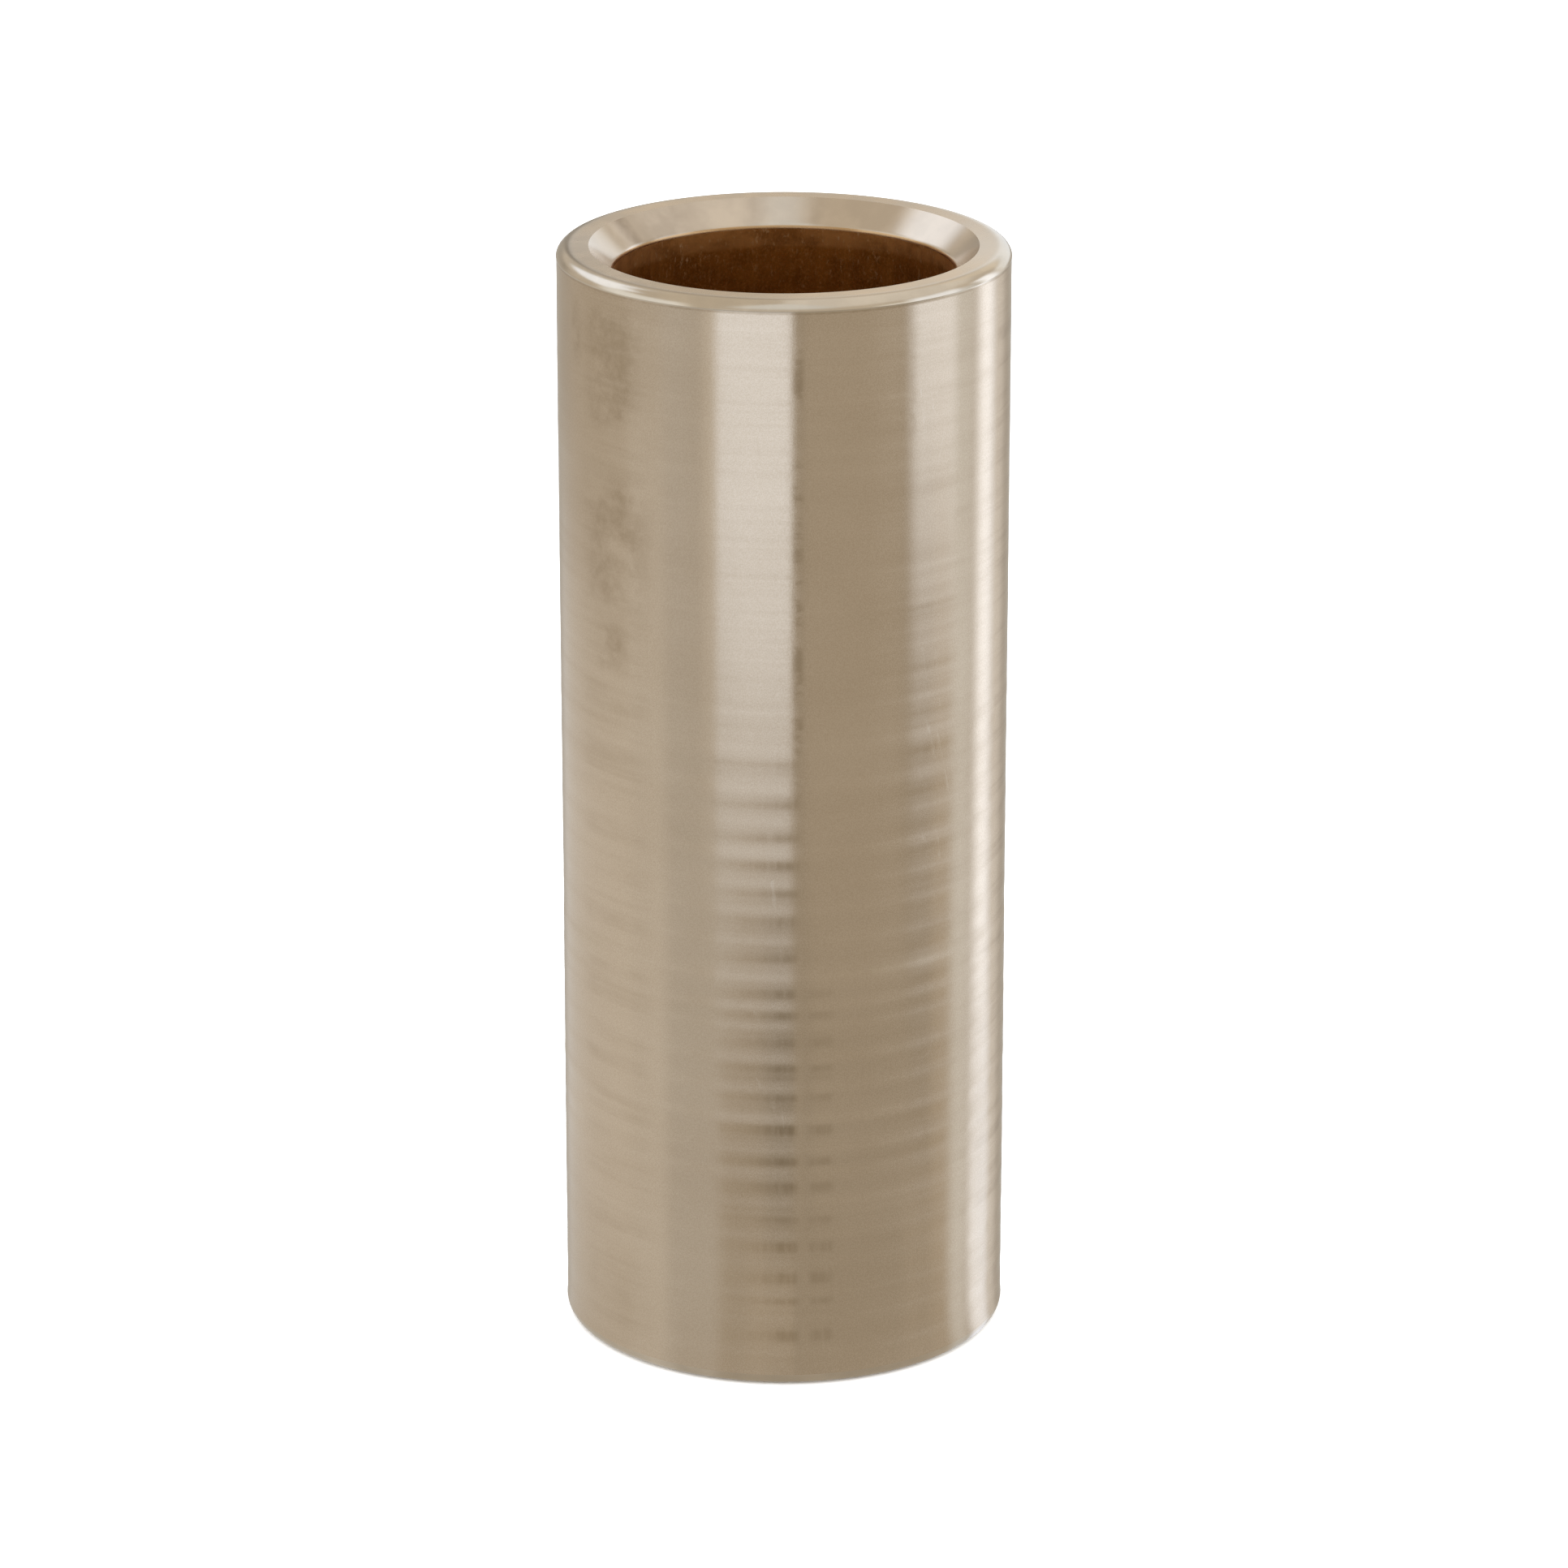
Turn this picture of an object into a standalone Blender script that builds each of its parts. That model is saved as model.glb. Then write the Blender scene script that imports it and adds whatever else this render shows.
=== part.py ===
"""A bronze sleeve bushing: one turned tube that a shaft runs in, with a chamfered bore and
eased outer edges.

The sleeve stands on its lower end face. +Z runs along the bore, and the origin is the centre
of the lower end.
"""

import math

import bmesh
import bpy

INCH = 0.0254

# Driving dimensions, in metres.
OUTER_DIAMETER = 1.0 * INCH
BORE_DIAMETER = 0.75 * INCH
LENGTH = 2.5 * INCH

# The 45 degree lead-in at each end of the bore, and the small round where it meets the bore.
BORE_CHAMFER = 0.00135
BORE_LIP_RADIUS = 0.00045

# The rounded outer edge of the upper end, and the smaller eased edge of the lower end.
TOP_EDGE_WIDTH = 0.00065
TOP_EDGE_HEIGHT = 0.00052
FOOT_EDGE_WIDTH = 0.00042
FOOT_EDGE_HEIGHT = 0.00058

# How finely the curves are divided.
STEPS_AROUND = 96
EDGE_STEPS = 4
LIP_STEPS = 2
SMOOTH_BELOW_ANGLE = math.radians(30.0)

BRONZE_COLOUR = (0.56, 0.43, 0.27, 1.0)
BRONZE_ROUGHNESS = 0.28


def clear_scene():
    for old in list(bpy.data.objects):
        bpy.data.objects.remove(old, do_unlink=True)


def bronze_material():
    material = bpy.data.materials.new("turned_bronze")
    material.use_nodes = True
    shader = material.node_tree.nodes["Principled BSDF"]
    shader.inputs["Base Color"].default_value = BRONZE_COLOUR
    shader.inputs["Metallic"].default_value = 1.0
    shader.inputs["Roughness"].default_value = BRONZE_ROUGHNESS
    return material


def arc(centre, radii, start, end, steps):
    """(radius, height) points along an arc of an ellipse. The angles are in degrees."""
    points = []
    for step in range(steps + 1):
        angle = math.radians(start + (end - start) * step / steps)
        points.append((centre[0] + radii[0] * math.cos(angle), centre[1] + radii[1] * math.sin(angle)))
    return points


def lower_lip(bore):
    """The lower bore edge, from the chamfer up on to the bore's wall."""
    tangent = BORE_LIP_RADIUS * math.tan(math.radians(22.5))
    centre = (bore + BORE_LIP_RADIUS, BORE_CHAMFER + tangent)
    return arc(centre, (BORE_LIP_RADIUS, BORE_LIP_RADIUS), 225.0, 180.0, LIP_STEPS)


def upper_lip(bore):
    """The upper bore edge: the lower one mirrored, and taken in the other order."""
    return [(radius, LENGTH - height) for radius, height in reversed(lower_lip(bore))]


def sleeve_section():
    """(radius, height) points round the section of the wall, clockwise from the lower chamfer."""
    outer = OUTER_DIAMETER / 2
    bore = BORE_DIAMETER / 2
    mouth = bore + BORE_CHAMFER
    top_centre = (outer - TOP_EDGE_WIDTH, LENGTH - TOP_EDGE_HEIGHT)
    foot_centre = (outer - FOOT_EDGE_WIDTH, FOOT_EDGE_HEIGHT)
    points = [(mouth, 0.0)]
    points += lower_lip(bore)
    points += upper_lip(bore)
    points.append((mouth, LENGTH))
    points += arc(top_centre, (TOP_EDGE_WIDTH, TOP_EDGE_HEIGHT), 90.0, 0.0, EDGE_STEPS)
    points += arc(foot_centre, (FOOT_EDGE_WIDTH, FOOT_EDGE_HEIGHT), 0.0, -90.0, EDGE_STEPS)
    return points


def turned_mesh(name, section):
    """The closed section, spun a full turn about Z."""
    shape = bmesh.new()
    verts = [shape.verts.new((radius, 0.0, height)) for radius, height in section]
    edges = [shape.edges.new((verts[i - 1], verts[i])) for i in range(len(verts))]
    bmesh.ops.spin(
        shape,
        geom=verts + edges,
        cent=(0.0, 0.0, 0.0),
        axis=(0.0, 0.0, 1.0),
        angle=math.tau,
        steps=STEPS_AROUND,
        use_merge=True,
    )
    bmesh.ops.recalc_face_normals(shape, faces=shape.faces)
    mesh = bpy.data.meshes.new(name)
    shape.to_mesh(mesh)
    shape.free()
    mesh.shade_smooth()
    mesh.set_sharp_from_angle(angle=SMOOTH_BELOW_ANGLE)
    return mesh


def add_sleeve():
    mesh = turned_mesh("sleeve", sleeve_section())
    mesh.materials.append(bronze_material())
    sleeve = bpy.data.objects.new("sleeve", mesh)
    bpy.context.scene.collection.objects.link(sleeve)


def main():
    clear_scene()
    add_sleeve()


main()
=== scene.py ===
import math
import random

import bmesh
import bpy
import numpy as np
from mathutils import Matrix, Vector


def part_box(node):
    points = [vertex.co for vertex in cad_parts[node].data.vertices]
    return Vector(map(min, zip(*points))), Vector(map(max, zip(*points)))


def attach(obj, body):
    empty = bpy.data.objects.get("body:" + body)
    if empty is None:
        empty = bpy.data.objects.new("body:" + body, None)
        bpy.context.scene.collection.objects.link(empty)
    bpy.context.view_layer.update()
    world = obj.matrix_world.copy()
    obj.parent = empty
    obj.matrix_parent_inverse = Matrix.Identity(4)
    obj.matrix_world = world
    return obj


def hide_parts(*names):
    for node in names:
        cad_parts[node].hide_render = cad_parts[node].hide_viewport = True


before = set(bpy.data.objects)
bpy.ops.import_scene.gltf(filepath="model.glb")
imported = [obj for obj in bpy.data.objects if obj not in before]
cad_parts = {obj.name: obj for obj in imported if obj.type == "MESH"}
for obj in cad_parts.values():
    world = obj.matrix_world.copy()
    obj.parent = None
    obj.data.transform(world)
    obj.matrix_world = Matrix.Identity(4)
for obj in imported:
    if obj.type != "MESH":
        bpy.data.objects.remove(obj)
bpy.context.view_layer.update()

SEED = 492
MM = 0.001

# Sizes that come from the CAD sleeve's box, and those of its edges and bore.
LOW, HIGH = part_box("sleeve")
OUTER = (HIGH.x - LOW.x) / 2
LENGTH = HIGH.z - LOW.z
BORE = 0.75 * OUTER
CHAMFER = 1.35 * MM
LIP_RADIUS = 0.45 * MM
TOP_EDGE = (0.76 * MM, 0.62 * MM)
FOOT_EDGE = (0.42 * MM, 0.58 * MM)

AROUND = 144
WALL_ROWS = 420
BORE_ROWS = 80

# Zones of the surface, one material slot each.
WALL, RIM, CONE, LIP, INSIDE = range(5)

# Rings that the turning tool left on the wall, in mm. Smooth and rough rings alternate: along a
# smooth ring the wall is finer and leans down a little, and along a rough ring it is coarser and
# leans up. They are strongest below the middle, and weaker and wider apart towards the top.
FIRST_RING = 1.9
LAST_RING = 60.5
RING_GAP = (0.55, 1.15)
RING_STRENGTH = (0.4, 1.0)
LEAN = math.radians(1.6)


# ---------------------------------------------------------------- camera

CAMERA_ELEVATION = math.radians(18.99)
CAMERA_DISTANCE = 374.2 * MM
CAMERA_LENS = 150.35


def add_camera():
    data = bpy.data.cameras.new("camera")
    data.sensor_width = 36.0
    data.lens = CAMERA_LENS
    data.clip_start = 0.01
    data.clip_end = 10.0
    camera = bpy.data.objects.new("camera", data)
    back = CAMERA_DISTANCE * math.cos(CAMERA_ELEVATION)
    up = CAMERA_DISTANCE * math.sin(CAMERA_ELEVATION)
    camera.location = (0.0, -back, LENGTH / 2 + up)
    camera.rotation_euler = (math.pi / 2 - CAMERA_ELEVATION, 0.0, 0.0)
    bpy.context.scene.collection.objects.link(camera)
    bpy.context.scene.camera = camera


# ---------------------------------------------------------------- shape

def arc(centre, radii, start, end, steps, zone):
    rows = []
    for step in range(steps + 1):
        angle = math.radians(start + (end - start) * step / steps)
        rows.append((centre[0] + radii[0] * math.cos(angle), centre[1] + radii[1] * math.sin(angle), zone))
    return rows


def line(start, end, steps, zone):
    """Rows strictly between two ends."""
    rows = []
    for step in range(1, steps):
        t = step / steps
        rows.append((start[0] + (end[0] - start[0]) * t, start[1] + (end[1] - start[1]) * t, zone))
    return rows


def section():
    """(radius, height, zone of the strip that follows) round the wall's section."""
    mouth = BORE + CHAMFER
    tangent = LIP_RADIUS * math.tan(math.radians(22.5))
    lip = (LIP_RADIUS, LIP_RADIUS)
    rows = [(mouth, 0.0, CONE)]
    low_centre = (BORE + LIP_RADIUS, CHAMFER + tangent)
    low_lip = arc(low_centre, lip, 225.0, 205.0, 3, CONE) + arc(low_centre, lip, 200.0, 180.0, 3, LIP)
    rows += line(rows[-1], low_lip[0], 5, CONE) + low_lip
    high_centre = (BORE + LIP_RADIUS, LENGTH - CHAMFER - tangent)
    high_lip = arc(high_centre, lip, 180.0, 160.0, 3, LIP) + arc(high_centre, lip, 155.0, 135.0, 3, CONE)
    rows[-1] = rows[-1][:2] + (INSIDE,)
    rows += line(rows[-1], high_lip[0], BORE_ROWS, INSIDE) + high_lip
    rows += line(rows[-1], (mouth, LENGTH), 8, CONE) + [(mouth, LENGTH, RIM)]
    top = arc((OUTER - TOP_EDGE[0], LENGTH - TOP_EDGE[1]), TOP_EDGE, 90.0, 0.0, 12, RIM)
    rows += line(rows[-1], top[0], 8, RIM) + top
    rows[-1] = rows[-1][:2] + (WALL,)
    foot = arc((OUTER - FOOT_EDGE[0], FOOT_EDGE[1]), FOOT_EDGE, 0.0, -90.0, 8, RIM)
    rows += line(rows[-1], foot[0], WALL_ROWS, WALL) + foot
    rows += line(rows[-1], (mouth, 0.0), 3, RIM)
    return rows


def turning_rings():
    """(height, half width, strength, lobes, phase) of each ring, rough ones positive."""
    rng = random.Random(SEED)
    strengths = []
    height = FIRST_RING
    side = 1.0
    while height < LAST_RING:
        strength = np.interp(height, (12.0, 20.0, 33.0, 42.0, 60.0), (0.7, 1.0, 1.0, 0.5, 0.4))
        strengths.append((height, side * strength * rng.uniform(*RING_STRENGTH)))
        height += rng.uniform(*RING_GAP) * np.interp(height, (34.0, 44.0), (1.0, 2.0))
        side = -side
    height = 0.0
    while height < LENGTH / MM:
        height += rng.uniform(0.25, 0.9)
        strengths.append((height, rng.uniform(-0.3, 0.3)))
    rings = []
    for height, strength in strengths:
        half = 0.16 + 0.22 * abs(strength)
        rings.append((height, half, strength, rng.choice((1, 2, 3)), rng.uniform(0.0, math.tau)))
    return rings


def finish(height, angle):
    """How rough the wall is at each height in mm and angle. Each ring is uneven round the wall."""
    total = np.zeros((len(height), len(angle)))
    for at, half, strength, lobes, phase in turning_rings():
        ring = np.exp(-(((height - at) / half) ** 2))
        uneven = 0.85 + 0.15 * np.sin(lobes * angle + phase)
        depth = np.interp(height, (12.0, 20.0, 38.0, 44.0), (1.35, 1.0, 1.0, 1.6))
        total += strength * (ring * depth)[:, None] * uneven[None, :]
    return total


def lift_of(roughness, height):
    """How far the wall stands out, in metres, where it leans up or down by its roughness."""
    step = np.abs(np.diff(height, append=height[-1:]))
    lean = -math.tan(LEAN) * roughness * step[:, None] * MM
    lift = np.cumsum(lean[::-1], axis=0)[::-1]
    share = np.linspace(0.0, 1.0, len(height))[:, None]
    lift = lift - lift[:1] * (1.0 - share) - lift[-1:] * share
    return lift - lift.max()


def sleeve_points(rows):
    """Each row's points, and the finish at each."""
    radius = np.array([r for r, z, zone in rows])
    height = np.array([z for r, z, zone in rows])
    wall = np.flatnonzero([zone == WALL for r, z, zone in rows])
    angle = np.arange(AROUND) * math.tau / AROUND
    roughness = np.zeros((len(rows), AROUND))
    roughness[wall] = finish(height[wall] / MM, angle)
    radius = np.repeat(radius[:, None], AROUND, axis=1)
    radius[wall] += lift_of(roughness[wall], height[wall] / MM)
    points = np.empty((len(rows), AROUND, 3))
    points[:, :, 0] = radius * np.cos(angle)
    points[:, :, 1] = radius * np.sin(angle)
    points[:, :, 2] = height[:, None]
    return points, roughness


def sleeve_mesh():
    """The section taken round the axis, with each strip's zone as its material."""
    rows = section()
    index = np.arange(len(rows) * AROUND).reshape(len(rows), AROUND)
    beyond = np.roll(index, -1, axis=0)
    faces = np.stack([index, np.roll(index, -1, axis=1), np.roll(beyond, -1, axis=1), beyond], axis=-1)
    mesh = bpy.data.meshes.new("sleeve_surface")
    points, roughness = sleeve_points(rows)
    mesh.from_pydata(points.reshape(-1, 3).tolist(), [], faces.reshape(-1, 4).tolist())
    attribute = mesh.attributes.new("finish", "FLOAT", "POINT")
    attribute.data.foreach_set("value", roughness.ravel().astype(np.float32))
    zones = np.repeat([zone for r, z, zone in rows], AROUND).astype(np.int32)
    return mesh, zones


def add_sleeve(materials):
    mesh, zones = sleeve_mesh()
    for material in materials:
        mesh.materials.append(material)
    mesh.polygons.foreach_set("material_index", zones)
    mesh.validate()
    mesh.shade_smooth()
    mesh.set_sharp_from_angle(angle=math.radians(25.0))
    piece = bpy.data.objects.new("sleeve_surface", mesh)
    bpy.context.scene.collection.objects.link(piece)
    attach(piece, "root")
    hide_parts("sleeve")


# ---------------------------------------------------------------- materials

class Nodes:
    """Short names for building a material's node tree."""

    def __init__(self, name):
        self.material = bpy.data.materials.new(name)
        self.material.use_nodes = True
        self.tree = self.material.node_tree
        self.shader = self.tree.nodes["Principled BSDF"]

    def add(self, kind, **settings):
        node = self.tree.nodes.new(kind)
        for key, value in settings.items():
            setattr(node, key, value)
        return node

    def put(self, value, socket):
        if isinstance(value, bpy.types.NodeSocket):
            self.tree.links.new(value, socket)
        else:
            socket.default_value = value

    def math(self, operation, a, b=0.0, c=0.0):
        node = self.add("ShaderNodeMath", operation=operation)
        for value, socket in zip((a, b, c), node.inputs):
            self.put(value, socket)
        return node.outputs[0]

    def ramp(self, value, low, high, to_low=0.0, to_high=1.0):
        node = self.add("ShaderNodeMapRange", interpolation_type="SMOOTHSTEP")
        for item, socket in zip((value, low, high, to_low, to_high), node.inputs):
            self.put(item, socket)
        return node.outputs[0]

    def noise(self, vector, scale=1.0, detail=2.0, roughness=0.5):
        node = self.add("ShaderNodeTexNoise")
        self.put(vector, node.inputs["Vector"])
        node.inputs["Scale"].default_value = scale
        node.inputs["Detail"].default_value = detail
        node.inputs["Roughness"].default_value = roughness
        return node.outputs["Fac"]

    def position(self):
        """The object's own coordinates, in metres."""
        return self.add("ShaderNodeTexCoord").outputs["Object"]

    def position_xyz(self):
        split = self.add("ShaderNodeSeparateXYZ")
        self.put(self.position(), split.inputs[0])
        return split.outputs

    def stretched(self, x, y, z):
        """The position times these."""
        node = self.add("ShaderNodeVectorMath", operation="MULTIPLY")
        self.put(self.position(), node.inputs[0])
        node.inputs[1].default_value = (x, y, z)
        return node.outputs[0]

    def tilted(self, vector):
        """The vector turned off the axes, so that a noise in it shows no rows or columns."""
        node = self.add("ShaderNodeVectorRotate", rotation_type="EULER_XYZ")
        self.put(vector, node.inputs["Vector"])
        node.inputs["Rotation"].default_value = (0.6, 0.9, 0.4)
        return node.outputs["Vector"]

    def mix(self, factor, a, b):
        node = self.add("ShaderNodeMix", data_type="RGBA")
        self.put(factor, node.inputs["Factor"])
        self.put(a, node.inputs["A"])
        self.put(b, node.inputs["B"])
        return node.outputs["Result"]

    def vector(self, operation, a, b):
        """The number that this operation makes of two vectors, or the vector if that is what it makes."""
        node = self.add("ShaderNodeVectorMath", operation=operation)
        self.put(a, node.inputs[0])
        self.put(b, node.inputs[1])
        return node.outputs["Value" if operation in ("DOT_PRODUCT", "DISTANCE") else "Vector"]

    def scaled(self, vector, factor):
        node = self.add("ShaderNodeVectorMath", operation="SCALE")
        self.put(vector, node.inputs[0])
        self.put(factor, node.inputs["Scale"])
        return node.outputs["Vector"]

    def clamped(self, value):
        node = self.add("ShaderNodeClamp")
        self.put(value, node.inputs["Value"])
        return node.outputs[0]

    def bump(self, height, distance, strength=1.0, normal=None):
        node = self.add("ShaderNodeBump")
        node.inputs["Strength"].default_value = strength
        node.inputs["Distance"].default_value = distance
        self.put(height, node.inputs["Height"])
        if normal is not None:
            self.put(normal, node.inputs["Normal"])
        return node.outputs["Normal"]


# Colours are linear.
CLEAN = (0.71, 0.58, 0.43, 1.0)
DULL = (0.60, 0.475, 0.335, 1.0)
# Colour of real stains, and of painted shade in the rings, along the reflections' edges and under the
# upper edge.
STAIN_AND_SHADE = (0.46, 0.35, 0.23, 1.0)
SCRAPED = (0.88, 0.77, 0.63, 1.0)
ROUND_BRONZE = (0.705, 0.595, 0.455, 1.0)
FACE_BRONZE = (0.75, 0.59, 0.41, 1.0)
CONE_BRONZE = (0.71, 0.585, 0.445, 1.0)
# Painted shade, on the chamfer and in the line along the rounded upper edge.
PAINTED_SHADE = (0.34, 0.265, 0.19, 1.0)
LIP_BRONZE = (0.66, 0.43, 0.225, 1.0)
BORE_BRONZE = (0.41, 0.155, 0.026, 1.0)
# Painted light for the band under the bore's lip, and also the colour of the bore's dust.
BORE_LIGHT_AND_DUST = (0.58, 0.27, 0.082, 1.0)
BORE_SHADE = (0.24, 0.08, 0.010, 1.0)
BORE_FLECK = (0.70, 0.44, 0.22, 1.0)

# Marks on the wall are placed by azimuth in degrees, 0 at the front and positive to the right, and
# by height in mm. Each row has the azimuths, their softness, the heights, their softness and a
# strength. The first list is patches of handling stain.
STAINED_PATCHES = [
    ((-57, -40), 5, (55.2, 61.8), 0.7, 1.0),
    ((-66, -62), 2, (58.5, 61.5), 0.8, 1.0),
    ((-58, -38), 6, (45.0, 52.5), 1.0, 1.0),
    ((-54, -44), 3, (41.2, 44.0), 0.6, 1.0),
    ((150, 172), 6, (38.0, 50.0), 2.0, 1.0),
    ((96, 118), 6, (8.0, 21.0), 2.0, 1.0),
    ((-150, -128), 6, (22.0, 34.0), 2.0, 1.0),
]

# Painted shade on the upper chamfer, where its reflections show darker: azimuths in degrees, their
# softness, how dark.
CONE_SHADE_BANDS = [
    ((-124, -118), 3, 0.62),
    ((-150, -126), 7, 0.36),
    ((-173, -168), 3, 0.30),
    ((168, 171), 2, 0.14),
    ((60, 84), 5, 0.30),
]

# Bands along the axis where the rings are painted darker, as painted shade of their reflections: azimuths,
# their softness, how strongly.
SHADED_RING_BANDS = [
    ((-62, -37), 4, 0.8),
    ((37, 57), 6, 0.55),
    ((58, 68), 4, 0.9),
    ((68, 86), 3, 1.8),
    ((98, 126), 8, 0.7),
    ((150, 176), 8, 0.5),
    ((-168, -142), 8, 0.8),
    ((-120, -104), 6, 0.5),
]

# Painted shade in the smooth rings, standing in for their dark reflections.
SHADED_RING_PATCHES = [
    ((-2.6, 3.4), 1.3, (1.0, 37.0), 2.0, 1.0),
    ((-8.0, 1.0), 5.0, (2.0, 36.0), 3.0, 0.6),
    ((6.6, 12.4), 1.2, (1.0, 24.0), 3.0, 0.62),
    ((128.0, 139.0), 3.0, (4.0, 30.0), 4.0, 0.8),
    ((-158.0, -148.0), 3.0, (12.0, 44.0), 4.0, 0.8),
]

# Lines of small dark specks along the axis. The first two are painted shade along the edges of the bright
# reflections.
SPECK_AND_SHADE_LINES = [
    ((2.2, 4.6), 1.0, (36.0, 62.0), 3.0, 1.0),
    ((32.6, 34.4), 0.8, (55.5, 61.5), 0.6, 0.35),
    ((-141.0, -136.0), 2.5, (34.0, 47.0), 5.0, 0.6),
]

# Single scratches: azimuth in degrees and height in mm of one end and of the other.
SCRATCHES = [
    ((-11.0, 24.2), (-4.5, 21.4)),
    ((-9.0, 19.4), (-2.5, 17.0)),
    ((-3.0, 30.4), (-2.2, 28.6)),
    ((-1.2, 18.0), (0.2, 15.2)),
    ((36.0, 58.0), (37.5, 55.0)),
    ((39.5, 57.4), (41.0, 54.8)),
    ((37.0, 43.2), (39.5, 40.0)),
    ((41.5, 42.8), (43.0, 39.6)),
    ((38.5, 39.0), (41.5, 36.6)),
    ((42.0, 38.2), (46.5, 34.4)),
    ((37.0, 32.6), (40.0, 30.0)),
    ((42.5, 32.2), (43.5, 30.4)),
    ((128.0, 44.0), (136.0, 37.5)),
    ((-118.0, 15.0), (-106.0, 19.0)),
    ((172.0, 27.0), (176.0, 19.5)),
]
SCRATCH_WIDTH = 0.045


def turned(n):
    """Metal whose tool marks run round the axis, so that reflections spread along it."""
    n.shader.inputs["Metallic"].default_value = 1.0
    n.shader.inputs["Anisotropic"].default_value = 0.9
    n.shader.inputs["Anisotropic Rotation"].default_value = 0.25
    tangent = n.add("ShaderNodeTangent", direction_type="RADIAL", axis="Z")
    n.put(tangent.outputs[0], n.shader.inputs["Tangent"])


def around_and_up(n):
    """Azimuth in degrees, positive to the right of the front, and height in mm."""
    x, y, z = n.position_xyz()
    azimuth = n.math("DEGREES", n.math("ARCTAN2", x, n.math("MULTIPLY", y, -1.0)))
    return azimuth, n.math("DIVIDE", z, MM)


def square(n, value):
    return n.math("MULTIPLY", value, value)


def distance_from_axis(n, x, y):
    return n.math("SQRT", n.math("ADD", square(n, x), square(n, y)))


def window(n, value, ends, soft):
    """1 between the two ends and 0 outside them."""
    low = n.ramp(value, ends[0] - soft, ends[0] + soft)
    high = n.ramp(value, ends[1] - soft, ends[1] + soft, 1.0, 0.0)
    return n.math("MULTIPLY", low, high)


def patch(n, azimuth, azimuths, soft_azimuth, extent, extents, soft_extent):
    """1 inside a patch that is bounded in azimuth and in one more number."""
    return n.math("MULTIPLY", window(n, azimuth, azimuths, soft_azimuth),
                  window(n, extent, extents, soft_extent))


def strongest_patch(n, azimuth, height, patches):
    """The most that any of the patches has at this azimuth and height."""
    most = 0.0
    for azimuths, soft_azimuth, heights, soft_height, strength in patches:
        inside = patch(n, azimuth, azimuths, soft_azimuth, height, heights, soft_height)
        most = n.math("MAXIMUM", most, n.math("MULTIPLY", inside, strength))
    return most


def strongest_band(n, azimuth, bands):
    """The most that any of the bands has at this azimuth."""
    most = 0.0
    for azimuths, soft, strength in bands:
        most = n.math("MAXIMUM", most, n.math("MULTIPLY", window(n, azimuth, azimuths, soft), strength))
    return most


def stain_mask(n, azimuth, height):
    patches = strongest_patch(n, azimuth, height, STAINED_PATCHES)
    mottle = n.noise(n.tilted(n.stretched(380, 380, 420)), detail=4.0, roughness=0.6)
    ticks = n.noise(n.tilted(n.stretched(1700, 1700, 1500)), detail=4.0, roughness=0.65)
    blotches = n.math("MULTIPLY", n.ramp(mottle, 0.32, 0.66), n.ramp(ticks, 0.30, 0.66, 0.5, 1.0))
    return n.math("MULTIPLY", patches, blotches)


def speck_and_shade_mask(n, azimuth, height):
    lines = strongest_patch(n, azimuth, height, SPECK_AND_SHADE_LINES)
    specks = n.noise(n.tilted(n.stretched(420, 420, 620)), detail=4.0, roughness=0.6)
    return n.math("MULTIPLY", lines, n.ramp(specks, 0.47, 0.63))


def ring_shade_mask(n, azimuth, height, rings, hatch):
    """Painted shade in the smooth rings of a few places, thinned by the upright hatch."""
    places = strongest_patch(n, azimuth, height, SHADED_RING_PATCHES)
    dark = n.math("MULTIPLY", n.ramp(rings, -0.8, 0.25, 1.0, 0.0), n.ramp(hatch, 0.28, 0.62, 0.45, 1.0))
    return n.math("MULTIPLY", places, dark)


def shaded_rings_mask(n, azimuth):
    """Dark rings of painted shade in the bands, broken up along each ring."""
    bands = strongest_band(n, azimuth, SHADED_RING_BANDS)
    rings = n.noise(n.stretched(20, 20, 1000), detail=4.0, roughness=0.6)
    breaks = n.noise(n.stretched(500, 500, 900), detail=3.0)
    dark = n.math("MULTIPLY", n.ramp(rings, 0.42, 0.68), n.ramp(breaks, 0.3, 0.65, 0.35, 1.0))
    return n.math("MULTIPLY", bands, dark)


def on_wall_in_mm(azimuth, height):
    return (math.radians(azimuth) * OUTER / MM, height, 0.0)


def scratch_mask(n, azimuth, height):
    """1 on any of the single scratches, which waver and fade a little along their length."""
    place = n.add("ShaderNodeCombineXYZ")
    n.put(n.math("MULTIPLY", azimuth, math.radians(1.0) * OUTER / MM), place.inputs[0])
    n.put(height, place.inputs[1])
    waver = n.noise(n.stretched(1300, 1300, 1300), detail=3.0)
    total = 0.0
    for start, end in SCRATCHES:
        one_end, other_end = on_wall_in_mm(*start), on_wall_in_mm(*end)
        along = tuple(b - a for a, b in zip(one_end, other_end))
        length_squared = sum(c * c for c in along)
        offset = n.vector("SUBTRACT", place.outputs[0], one_end)
        part = n.math("DIVIDE", n.vector("DOT_PRODUCT", offset, along), length_squared)
        nearest = n.scaled(along, n.clamped(part))
        gap = n.vector("DISTANCE", offset, nearest)
        gap = n.math("ADD", gap, n.math("MULTIPLY", waver, 0.5))
        total = n.math("MAXIMUM", total, n.ramp(gap, 0.23, 0.23 + 2 * SCRATCH_WIDTH, 1.0, 0.0))
    faded = n.ramp(n.noise(n.stretched(900, 900, 900), detail=2.0), 0.38, 0.6, 0.15, 0.9)
    return n.math("MULTIPLY", total, faded)


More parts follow.
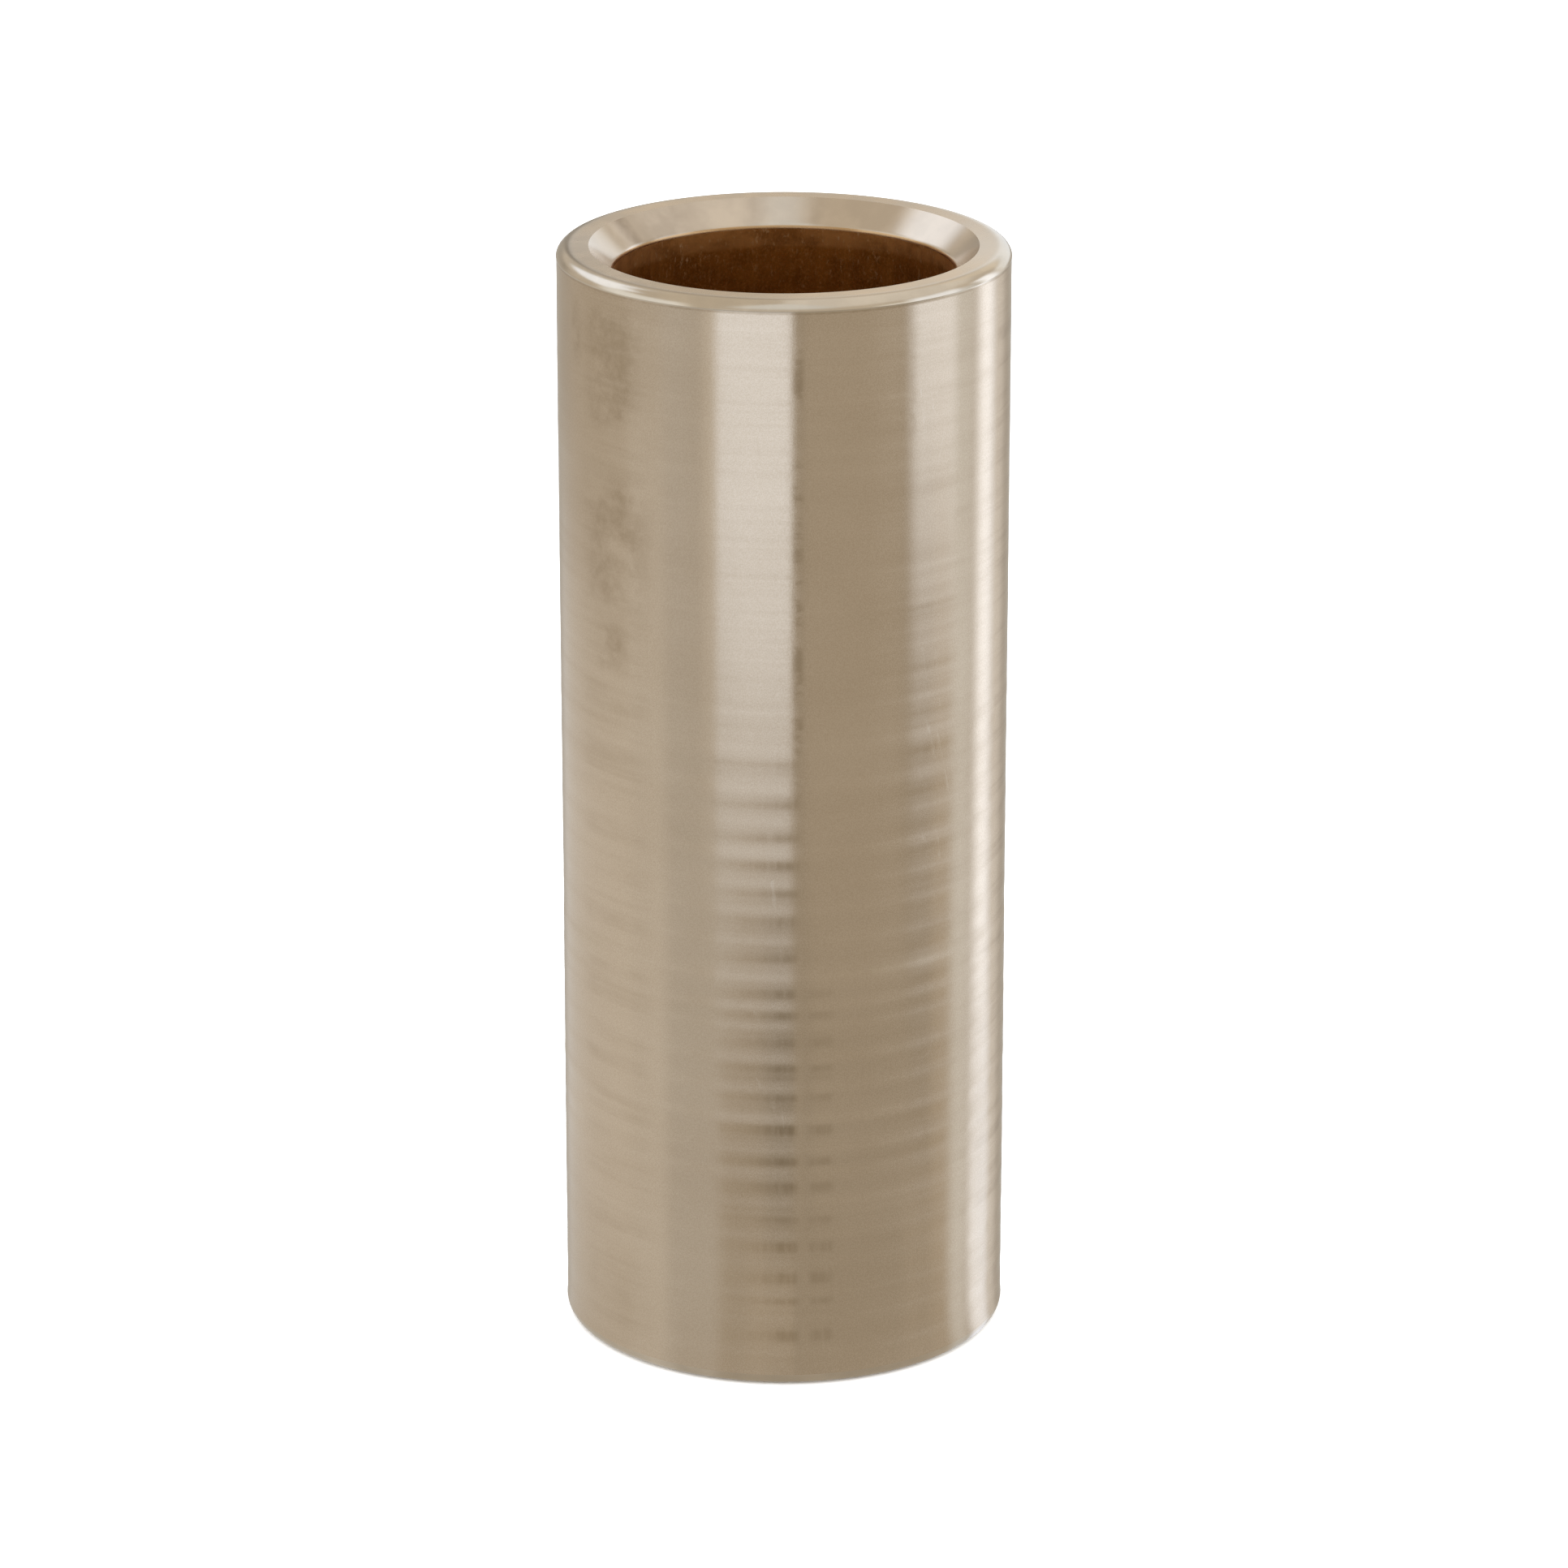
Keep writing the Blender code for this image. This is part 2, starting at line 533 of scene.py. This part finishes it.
def hairlines(n):
    """Short faint hairlines in every direction, all round."""
    waves = n.noise(n.stretched(420, 420, 150), detail=1.0, roughness=0.3)
    where = n.noise(n.stretched(260, 260, 260), detail=2.0)
    crest = n.ramp(n.math("ABSOLUTE", n.math("SUBTRACT", waves, 0.5)), 0.0, 0.006, 1.0, 0.0)
    return n.math("MULTIPLY", crest, n.ramp(where, 0.56, 0.68))


def edge_shade_mask(n, height, hatch):
    """The thin line of painted shade where the wall meets the rounded upper edge."""
    line_height = (LENGTH - TOP_EDGE[1]) / MM - 0.05
    inside = window(n, height, (line_height - 0.06, line_height + 0.06), 0.05)
    return n.math("MULTIPLY", inside, n.ramp(hatch, 0.3, 0.7, 0.35, 0.6))


def wall_roughness(n, rings, hatch):
    """The rings' finish, broken up by the fine upright hatch of the tool's chatter."""
    rings = n.math("MULTIPLY", rings, n.ramp(hatch, 0.3, 0.7, 0.75, 1.25))
    fine = n.ramp(n.noise(n.stretched(8, 8, 2400), detail=3.0), 0.3, 0.7, -0.25, 0.25)
    rings = n.math("ADD", rings, fine)
    rougher = n.math("MULTIPLY", n.math("MAXIMUM", rings, 0.0), 0.06)
    smoother = n.math("MULTIPLY", n.math("MINIMUM", rings, 0.0), 0.05)
    return n.math("ADD", 0.185, n.math("ADD", rougher, smoother))


def wall_material():
    n = Nodes("turned_wall")
    azimuth, height = around_and_up(n)
    rings = n.add("ShaderNodeAttribute", attribute_name="finish").outputs["Fac"]
    cloud = n.noise(n.stretched(90, 90, 160), detail=3.0)
    grain = n.noise(n.stretched(14000, 14000, 12500), detail=2.0)
    hatch = n.noise(n.stretched(2600, 2600, 350), detail=2.0)
    stained = stain_mask(n, azimuth, height)
    scraped = n.math("MAXIMUM", scratch_mask(n, azimuth, height), n.math("MULTIPLY", hairlines(n), 0.4))
    shade = n.math("ADD", n.ramp(cloud, 0.35, 0.65, 0.0, 0.25), n.ramp(grain, 0.3, 0.7, 0.0, 0.6))
    colour = n.mix(shade, CLEAN, DULL)
    # Painted shade of the rings' reflections, in bands round the wall.
    colour = n.mix(n.math("MULTIPLY", shaded_rings_mask(n, azimuth), 0.36), colour, STAIN_AND_SHADE)
    # Dark specks, with painted shade along the edges of the bright reflections.
    colour = n.mix(n.math("MULTIPLY", speck_and_shade_mask(n, azimuth, height), 0.75), colour, STAIN_AND_SHADE)
    # Painted shade in the smooth rings, standing in for their dark reflections.
    colour = n.mix(n.math("MULTIPLY", ring_shade_mask(n, azimuth, height, rings, hatch), 0.75), colour, STAIN_AND_SHADE)
    colour = n.mix(n.math("MULTIPLY", stained, 0.8), colour, STAIN_AND_SHADE)
    # Painted shade in a thin line under the rounded upper edge.
    colour = n.mix(edge_shade_mask(n, height, hatch), colour, STAIN_AND_SHADE)
    colour = n.mix(n.math("MULTIPLY", scraped, 0.26), colour, SCRAPED)
    n.put(colour, n.shader.inputs["Base Color"])
    rough = n.math("ADD", wall_roughness(n, rings, hatch), n.math("MULTIPLY", stained, 0.03))
    n.put(rough, n.shader.inputs["Roughness"])
    relief = n.math("ADD", n.math("MULTIPLY", grain, 0.55), n.math("MULTIPLY", hatch, 0.6))
    relief = n.math("SUBTRACT", relief, n.math("MULTIPLY", scraped, 0.8))
    n.put(n.bump(relief, 0.0016 * MM), n.shader.inputs["Normal"])
    turned(n)
    return n.material


def painted_shade_mask(n, shade_bands):
    """Painted shade in the listed bands of azimuth, and blotchy there."""
    azimuth, _ = around_and_up(n)
    shaded = strongest_band(n, azimuth, shade_bands)
    blotches = n.noise(n.stretched(900, 900, 900), detail=3.0)
    return n.math("MULTIPLY", shaded, n.ramp(blotches, 0.3, 0.6, 0.55, 1.0))


def darker(colour):
    return tuple(0.90 * c for c in colour[:3]) + (1.0,)


def rim_material():
    """The end faces and the rounded outer edges, paler and finer towards the outside. A faint line of
    painted shade runs where the one turns into the other, towards the front."""
    n = Nodes("turned_rim")
    x, y, z = n.position_xyz()
    across = n.math("DIVIDE", distance_from_axis(n, x, y), OUTER)
    outward = n.ramp(across, 0.91, 0.965)
    cloud = n.ramp(n.noise(n.stretched(600, 600, 600), detail=3.0), 0.3, 0.7)
    face = n.mix(cloud, darker(FACE_BRONZE), FACE_BRONZE)
    edge = n.mix(cloud, darker(ROUND_BRONZE), ROUND_BRONZE)
    azimuth, _ = around_and_up(n)
    # A thin line of painted shade on the rounded edge, towards the front.
    line = n.math("MULTIPLY", window(n, across, (0.942, 0.956), 0.008), window(n, azimuth, (-88, 62), 14))
    line = n.math("MULTIPLY", line, n.ramp(cloud, 0.0, 1.0, 0.34, 0.5))
    n.put(n.mix(line, n.mix(outward, face, edge), PAINTED_SHADE), n.shader.inputs["Base Color"])
    rough = n.math("ADD", n.ramp(outward, 0.0, 1.0, 0.25, 0.15), n.math("MULTIPLY", cloud, 0.04))
    n.put(rough, n.shader.inputs["Roughness"])
    grain = n.noise(n.stretched(9000, 9000, 9000), detail=2.0)
    n.put(n.bump(grain, 0.0004 * MM), n.shader.inputs["Normal"])
    turned(n)
    return n.material


def smooth_material(name, colour, low, high, shade_bands=()):
    n = Nodes(name)
    cloud = n.noise(n.stretched(600, 600, 600), detail=3.0)
    mottled = n.mix(n.ramp(cloud, 0.3, 0.7), darker(colour), colour)
    # Painted shade in the listed bands of azimuth.
    n.put(n.mix(painted_shade_mask(n, shade_bands), mottled, PAINTED_SHADE), n.shader.inputs["Base Color"])
    n.put(n.ramp(cloud, 0.3, 0.7, low, high), n.shader.inputs["Roughness"])
    grain = n.noise(n.stretched(9000, 9000, 9000), detail=2.0)
    n.put(n.bump(grain, 0.0005 * MM), n.shader.inputs["Normal"])
    turned(n)
    return n.material


def bore_material():
    """Brown inside, with a band of painted light under the lip, where light falls in over the near rim,
    and pale flecks along the axis.
    """
    n = Nodes("bore_wall")
    azimuth, height = around_and_up(n)
    # Painted light: the band under the lip that light reaches over the near rim, deepest towards the back
    # left.
    depth = n.math("SUBTRACT", (LENGTH - CHAMFER) / MM, height)
    turn = n.math("COSINE", n.math("RADIANS", n.math("ADD", azimuth, -212.0)))
    edge = n.math("ADD", 1.02, n.math("MULTIPLY", turn, 0.24))
    wander = n.noise(n.stretched(400, 400, 400), detail=2.0)
    edge = n.math("ADD", edge, n.math("MULTIPLY", n.math("SUBTRACT", wander, 0.5), 0.12))
    past = n.math("SUBTRACT", depth, edge)
    lit_band = n.ramp(past, -0.20, 0.16, 1.0, 0.0)
    streaks = n.noise(n.stretched(1800, 1800, 120), detail=3.0)
    colour = n.mix(lit_band, BORE_BRONZE, BORE_LIGHT_AND_DUST)
    blotches = n.noise(n.tilted(n.stretched(420, 420, 700)), detail=4.0, roughness=0.6)
    darker = n.math("ADD", n.ramp(streaks, 0.3, 0.7, 0.0, 0.16), n.ramp(blotches, 0.40, 0.68, 0.0, 0.6))
    colour = n.mix(darker, colour, BORE_SHADE)
    slant = n.noise(n.stretched(5200, 4300, 2300), detail=3.0, roughness=0.6)
    flecks = n.math("MULTIPLY", n.ramp(slant, 0.56, 0.76), n.ramp(wander, 0.38, 0.62, 0.3, 1.0))
    dust = n.noise(n.stretched(7000, 7000, 6000), detail=2.0)
    colour = n.mix(n.ramp(dust, 0.45, 0.75, 0.0, 0.45), colour, BORE_LIGHT_AND_DUST)
    colour = n.mix(flecks, colour, BORE_FLECK)
    n.put(colour, n.shader.inputs["Base Color"])
    n.put(n.ramp(streaks, 0.3, 0.7, 0.44, 0.52), n.shader.inputs["Roughness"])
    n.put(n.bump(n.math("ADD", slant, streaks), 0.004 * MM), n.shader.inputs["Normal"])
    n.shader.inputs["Metallic"].default_value = 1.0
    return n.material


# ---------------------------------------------------------------- stage
# The metal shows what stands round it, so the studio is built as the metal sees it: a floor and a
# tent that only reflections see, each with soft patches of light and shade. Azimuths are in
# degrees from the camera's side, positive to the right.

WARM = (1.06, 1.0, 0.90)
NEUTRAL = (1.0, 1.0, 1.0)
PALE = (0.94, 1.0, 1.08)
COOL = (0.90, 1.0, 1.19)

# On the floor a patch is placed by where the front of the wall shows it: the azimuth that the wall
# sends it from, and its distance from the wall in mm.
# (azimuths, their softness, distances, their softness, colour, radiance)
FLOOR_BASE = (WARM, 0.46)
FLOOR_PATCHES = [
    ((-160, -60), 8, (0, 165), 45, NEUTRAL, 0.72),
    ((-136, -78), 10, (180, 9000), 55, WARM, 0.50),
    ((-86, -60), 6, (0, 225), 30, NEUTRAL, 0.68),
    ((-64, -34), 6, (0, 9000), 20, NEUTRAL, 0.58),
    ((10, 66), 6, (0, 60), 20, WARM, 0.42),
    ((-26, 11), 9, (0, 78), 9, WARM, 0.43),
    ((-10, 11), 8, (0, 70), 12, WARM, 0.32),
    ((-20, 11), 8, (0, 22), 14, WARM, 0.50),
    ((-41, -29), 5, (108, 9000), 22, NEUTRAL, 0.72),
    ((-34.5, 4.5), 3.2, (111, 9000), 21, COOL, 1.21),
    ((-41, -25), 7, (60, 127), 16, NEUTRAL, 0.57),
    ((5.0, 10.5), 1.6, (0, 9000), 12, WARM, 0.42),
    ((64, 84), 6, (30, 9000), 12, WARM, 0.42),
    ((84, 101), 6, (0, 9000), 12, WARM, 0.52),
    ((67.5, 101), 5.5, (172, 9000), 40, COOL, 1.32),
    ((97, 112), 6, (0, 9000), 8, PALE, 0.86),
    ((134, 148), 7, (0, 9000), 8, NEUTRAL, 0.80),
    ((116, 133.5), 7, (0, 9000), 8, COOL, 1.56),
    ((116, 133.5), 7, (0, 55), 25, COOL, 1.28),
    ((172, 300), 5, (0, 9000), 8, PALE, 0.95),
    ((-300, -172), 5, (0, 9000), 8, PALE, 0.95),
    ((174, 300), 2, (280, 9000), 40, WARM, 0.62),
    ((-300, -174), 2, (280, 9000), 40, WARM, 0.62),
]

# (azimuths, their softness, elevations, their softness, colour, radiance)
TENT_BASE = (WARM, 0.62)
TENT_PATCHES = [
    ((20, 190), 15, (36, 92), 8, NEUTRAL, 0.86),
    ((-28, 28), 10, (30, 92), 10, PALE, 0.92),
    ((150, 190), 5, (22, 38), 4, WARM, 0.80),
    ((-190, -155), 5, (21, 38), 4, WARM, 0.58),
    ((-172, -135), 6, (-6, 15), 4, WARM, 0.42),
    ((-190, -169), 3, (-4, 21), 3, WARM, 0.33),
    ((138, 180), 6, (-4, 21), 3, PALE, 1.08),
    ((-220, -180), 6, (-4, 21), 3, PALE, 1.08),
    ((176.5, 190), 1.5, (-20, 8), 4, WARM, 0.62),
    ((-190, -176.5), 1.5, (-20, 8), 4, WARM, 0.62),
    ((48, 100), 8, (-8, 15), 5, PALE, 1.30),
    ((-96, -50), 8, (-2, 18), 5, PALE, 1.25),
    ((-34.5, 4.5), 3.2, (-90, 9), 5, COOL, 1.17),
    ((5.0, 10.5), 1.6, (-90, 9), 5, WARM, 0.42),
    ((67.5, 101), 5.5, (-90, 30), 8, COOL, 1.32),
    ((99, 112), 6, (-90, 16), 8, PALE, 0.82),
    ((116, 133), 6, (-90, 26), 4, COOL, 1.62),
    ((-156, -103), 5, (24, 49), 4, COOL, 1.38),
    ((-104, -54), 7, (5, 34), 6, PALE, 1.1),
]


def glow(colour, radiance):
    return tuple(radiance * c for c in colour) + (1.0,)


def patched_emission(name, base, patches, place):
    """Emission that is patched by the two numbers that place makes of the position."""
    n = Nodes(name)
    azimuth, extent = place(n, *n.position_xyz())
    colour = glow(*base)
    for azimuths, soft_azimuth, extents, soft_extent, tint, radiance in patches:
        inside = patch(n, azimuth, azimuths, soft_azimuth, extent, extents, soft_extent)
        colour = n.mix(inside, colour, glow(tint, radiance))
    light = n.add("ShaderNodeEmission")
    n.put(colour, light.inputs["Color"])
    n.put(light.outputs[0], n.tree.nodes["Material Output"].inputs["Surface"])
    return n.material


def seen_in_wall(n, x, y, z):
    """Azimuth and distance from the wall of the ray by which the front of the wall shows this point."""
    azimuth = n.math("ARCTAN2", x, n.math("MULTIPLY", y, -1.0))
    across = distance_from_axis(n, x, y)
    nearness = n.math("MINIMUM", n.math("DIVIDE", OUTER, across), 1.0)
    sent = azimuth
    for _ in range(3):
        side = n.math("SINE", n.math("MULTIPLY", sent, 0.5))
        sent = n.math("ADD", azimuth, n.math("ARCSINE", n.math("MULTIPLY", nearness, side)))
    between = n.math("COSINE", n.math("SUBTRACT", azimuth, n.math("MULTIPLY", sent, 0.5)))
    common = n.math("MULTIPLY", n.math("MULTIPLY", across, between), 2.0 * OUTER)
    squares = n.math("ADD", square(n, across), OUTER * OUTER)
    distance = n.math("SQRT", n.math("MAXIMUM", n.math("SUBTRACT", squares, common), 0.0))
    return n.math("DEGREES", sent), n.math("DIVIDE", distance, MM)


def azimuth_and_elevation(n, x, y, z):
    azimuth = n.math("ARCTAN2", x, n.math("MULTIPLY", y, -1.0))
    across = distance_from_axis(n, x, y)
    return n.math("DEGREES", azimuth), n.math("DEGREES", n.math("ARCTAN2", z, across))


def stage_object(name, mesh, material):
    mesh.materials.append(material)
    obj = bpy.data.objects.new(name, mesh)
    bpy.context.scene.collection.objects.link(obj)
    return obj


def floor_mesh(name, height):
    mesh = bpy.data.meshes.new(name)
    half = 3.0
    corners = [(-half, -half, height), (half, -half, height), (half, half, height), (-half, half, height)]
    mesh.from_pydata(corners, [], [(0, 1, 2, 3)])
    return mesh


def only_in_reflections(obj):
    obj.visible_camera = False
    obj.visible_diffuse = False
    obj.visible_shadow = False
    obj.visible_transmission = False


def add_floor():
    n = Nodes("pale_floor")
    n.shader.inputs["Base Color"].default_value = (0.9, 0.9, 0.9, 1.0)
    n.shader.inputs["Roughness"].default_value = 0.9
    n.shader.inputs["Specular IOR Level"].default_value = 0.0
    floor = stage_object("floor", floor_mesh("floor", -0.1 * MM), n.material)
    floor.visible_glossy = False
    lit = patched_emission("lit_floor", FLOOR_BASE, FLOOR_PATCHES, seen_in_wall)
    only_in_reflections(stage_object("lit_floor", floor_mesh("lit_floor", -0.3 * MM), lit))


def add_tent():
    mesh = bpy.data.meshes.new("tent")
    shape = bmesh.new()
    bmesh.ops.create_uvsphere(shape, u_segments=48, v_segments=24, radius=2.5)
    shape.to_mesh(mesh)
    shape.free()
    lit = patched_emission("tent", TENT_BASE, TENT_PATCHES, azimuth_and_elevation)
    only_in_reflections(stage_object("tent", mesh, lit))


def add_world():
    world = bpy.data.worlds.new("world")
    world.use_nodes = True
    back = world.node_tree.nodes["Background"]
    back.inputs["Color"].default_value = (1.0, 1.0, 1.0, 1.0)
    back.inputs["Strength"].default_value = 2.4
    bpy.context.scene.world = world
    world.cycles_visibility.glossy = False


def add_stage():
    add_floor()
    add_tent()
    add_world()


# ---------------------------------------------------------------- build

bpy.context.scene.view_settings.view_transform = "Standard"
add_camera()
add_stage()
add_sleeve([
    wall_material(),
    rim_material(),
    smooth_material("chamfer_cone", CONE_BRONZE, 0.19, 0.23, CONE_SHADE_BANDS),
    smooth_material("bore_lip", LIP_BRONZE, 0.18, 0.24),
    bore_material(),
])
